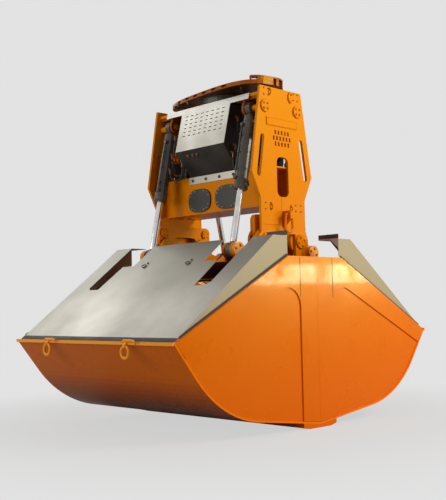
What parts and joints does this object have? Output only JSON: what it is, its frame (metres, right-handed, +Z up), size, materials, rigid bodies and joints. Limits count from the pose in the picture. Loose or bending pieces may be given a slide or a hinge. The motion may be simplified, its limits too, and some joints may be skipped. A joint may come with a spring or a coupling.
{
  "type": "clamshell bucket",
  "caption": "Hydraulic clamshell bucket for loose material: hinged covered shells, a plate frame with cylinders, and a turning head with a guard hoop.",
  "frame": {"origin": "on the ground under the middle of the closed lips", "axes": "+X the way the right shell opens, +Y along the shells and the hinge pins, +Z up"},
  "size_m": [3.0146, 1.9, 2.754],
  "materials": {
    "orange_paint": "glossy orange paint, scuffed",
    "bare_steel": "bare steel sheet",
    "black_paint": "matt black paint",
    "grey_paint": "dark grey paint, oily",
    "chrome_rod": "hard chrome, polished"
  },
  "bodies": {
    "frame": {"cross_beam": "orange_paint", "valve_box": "black_paint", "top_plate": "orange_paint", "slew_ring": "grey_paint", "end_plate_near": "orange_paint", "pivot_bracket_near": "orange_paint", "cylinder_bracket_near": "orange_paint", "lifting_lug_near": "orange_paint", "pivot_pin_left_near": "orange_paint", "cylinder_pin_left_near": "orange_paint", "inspection_cover_left_near": "black_paint", "pivot_pin_right_near": "orange_paint", "cylinder_pin_right_near": "orange_paint", "inspection_cover_right_near": "black_paint", "end_plate_far": "orange_paint", "pivot_bracket_far": "orange_paint", "cylinder_bracket_far": "orange_paint", "lifting_lug_far": "orange_paint", "pivot_pin_left_far": "orange_paint", "cylinder_pin_left_far": "orange_paint", "inspection_cover_left_far": "black_paint", "pivot_pin_right_far": "orange_paint", "cylinder_pin_right_far": "orange_paint", "inspection_cover_right_far": "black_paint", "vent_cover_left": "bare_steel", "clamp_strip_left": "bare_steel", "vent_cover_right": "bare_steel", "clamp_strip_right": "bare_steel"},
    "head": {"head_hub": "orange_paint", "guard_hoop": "orange_paint", "guard_rail": "orange_paint"},
    "shell_left": {"shell_sheet_left": "orange_paint", "side_plate_left_near": "orange_paint", "side_plate_left_far": "orange_paint", "lip_left": "orange_paint", "cover_left": "bare_steel", "shell_carrier_left": "orange_paint", "rear_rim_left": "orange_paint"},
    "shell_right": {"shell_sheet_right": "orange_paint", "side_plate_right_near": "orange_paint", "side_plate_right_far": "orange_paint", "lip_right": "orange_paint", "cover_right": "bare_steel", "shell_carrier_right": "orange_paint", "rear_rim_right": "orange_paint"},
    "barrel_left_near": {"cylinder_barrel_left_near": "grey_paint"},
    "rod_left_near": {"piston_rod_left_near": "chrome_rod"},
    "barrel_left_far": {"cylinder_barrel_left_far": "grey_paint"},
    "rod_left_far": {"piston_rod_left_far": "chrome_rod"},
    "barrel_right_near": {"cylinder_barrel_right_near": "grey_paint"},
    "rod_right_near": {"piston_rod_right_near": "chrome_rod"},
    "barrel_right_far": {"cylinder_barrel_right_far": "grey_paint"},
    "rod_right_far": {"piston_rod_right_far": "chrome_rod"},
    "ring_left_near": {"lifting_ring_left_near": "orange_paint"},
    "ring_left_far": {"lifting_ring_left_far": "orange_paint"},
    "ring_right_near": {"lifting_ring_right_near": "orange_paint"},
    "ring_right_far": {"lifting_ring_right_far": "orange_paint"},
    "shackle_near": {"lifting_shackle_near": "orange_paint"},
    "shackle_far": {"lifting_shackle_far": "orange_paint"}
  },
  "joints": [
    {"name": "head_spin", "type": "hinge", "parent": "frame", "child": "head", "pos_m": [0, 0, 2.686], "axis": [0, 0, 1], "continuous": true},
    {"name": "shell_left_open", "type": "hinge", "parent": "frame", "child": "shell_left", "pos_m": [-0.2, 0, 1.439], "axis": [0, 1, 0], "range_deg": [0, 55]},
    {"name": "shell_right_open", "type": "hinge", "parent": "frame", "child": "shell_right", "pos_m": [0.2, 0, 1.439], "axis": [0, -1, 0], "range_deg": [0, 55]},
    {"name": "barrel_left_near_swing", "type": "hinge", "parent": "frame", "child": "barrel_left_near", "pos_m": [-0.191, -0.485, 2.4985], "axis": [0, 1, 0], "range_deg": [0, 0.82]},
    {"name": "rod_left_near_stroke", "type": "slide", "parent": "barrel_left_near", "child": "rod_left_near", "axis": [-0.2159, 0, -0.9764], "range_m": [-0.2359, 0]},
    {"name": "barrel_left_far_swing", "type": "hinge", "parent": "frame", "child": "barrel_left_far", "pos_m": [-0.191, 0.485, 2.4985], "axis": [0, 1, 0], "range_deg": [0, 0.82]},
    {"name": "rod_left_far_stroke", "type": "slide", "parent": "barrel_left_far", "child": "rod_left_far", "axis": [-0.2159, 0, -0.9764], "range_m": [-0.2359, 0]},
    {"name": "barrel_right_near_swing", "type": "hinge", "parent": "frame", "child": "barrel_right_near", "pos_m": [0.191, -0.485, 2.4985], "axis": [0, -1, 0], "range_deg": [0, 0.82]},
    {"name": "rod_right_near_stroke", "type": "slide", "parent": "barrel_right_near", "child": "rod_right_near", "axis": [0.2159, 0, -0.9764], "range_m": [-0.2359, 0]},
    {"name": "barrel_right_far_swing", "type": "hinge", "parent": "frame", "child": "barrel_right_far", "pos_m": [0.191, 0.485, 2.4985], "axis": [0, -1, 0], "range_deg": [0, 0.82]},
    {"name": "rod_right_far_stroke", "type": "slide", "parent": "barrel_right_far", "child": "rod_right_far", "axis": [0.2159, 0, -0.9764], "range_m": [-0.2359, 0]},
    {"name": "ring_left_near_swing", "type": "hinge", "parent": "shell_left", "child": "ring_left_near", "pos_m": [-1.4893, -0.478, 0.673], "axis": [0, 1, 0], "range_deg": [-10, 100]},
    {"name": "ring_left_far_swing", "type": "hinge", "parent": "shell_left", "child": "ring_left_far", "pos_m": [-1.4893, 0.478, 0.673], "axis": [0, 1, 0], "range_deg": [-10, 100]},
    {"name": "ring_right_near_swing", "type": "hinge", "parent": "shell_right", "child": "ring_right_near", "pos_m": [1.4893, -0.478, 0.673], "axis": [0, -1, 0], "range_deg": [-10, 100]},
    {"name": "ring_right_far_swing", "type": "hinge", "parent": "shell_right", "child": "ring_right_far", "pos_m": [1.4893, 0.478, 0.673], "axis": [0, -1, 0], "range_deg": [-10, 100]},
    {"name": "shackle_near_swing", "type": "hinge", "parent": "frame", "child": "shackle_near", "pos_m": [0, -0.6833, 1.642], "axis": [-1, 0, 0], "range_deg": [-13, 150]},
    {"name": "shackle_far_swing", "type": "hinge", "parent": "frame", "child": "shackle_far", "pos_m": [0, 0.6833, 1.642], "axis": [1, 0, 0], "range_deg": [-13, 150]}
  ],
  "couplings": [
    {"joint": "shell_right_open", "follows": "shell_left_open", "ratio": 1},
    {"joint": "barrel_left_near_swing", "follows": "shell_left_open", "ratio": 0.01472},
    {"joint": "rod_left_near_stroke", "follows": "shell_left_open", "m_per_rad": -0.24564},
    {"joint": "barrel_left_far_swing", "follows": "shell_left_open", "ratio": 0.01472},
    {"joint": "rod_left_far_stroke", "follows": "shell_left_open", "m_per_rad": -0.24564},
    {"joint": "barrel_right_near_swing", "follows": "shell_left_open", "ratio": 0.01472},
    {"joint": "rod_right_near_stroke", "follows": "shell_left_open", "m_per_rad": -0.24564},
    {"joint": "barrel_right_far_swing", "follows": "shell_left_open", "ratio": 0.01472},
    {"joint": "rod_right_far_stroke", "follows": "shell_left_open", "m_per_rad": -0.24564}
  ]
}
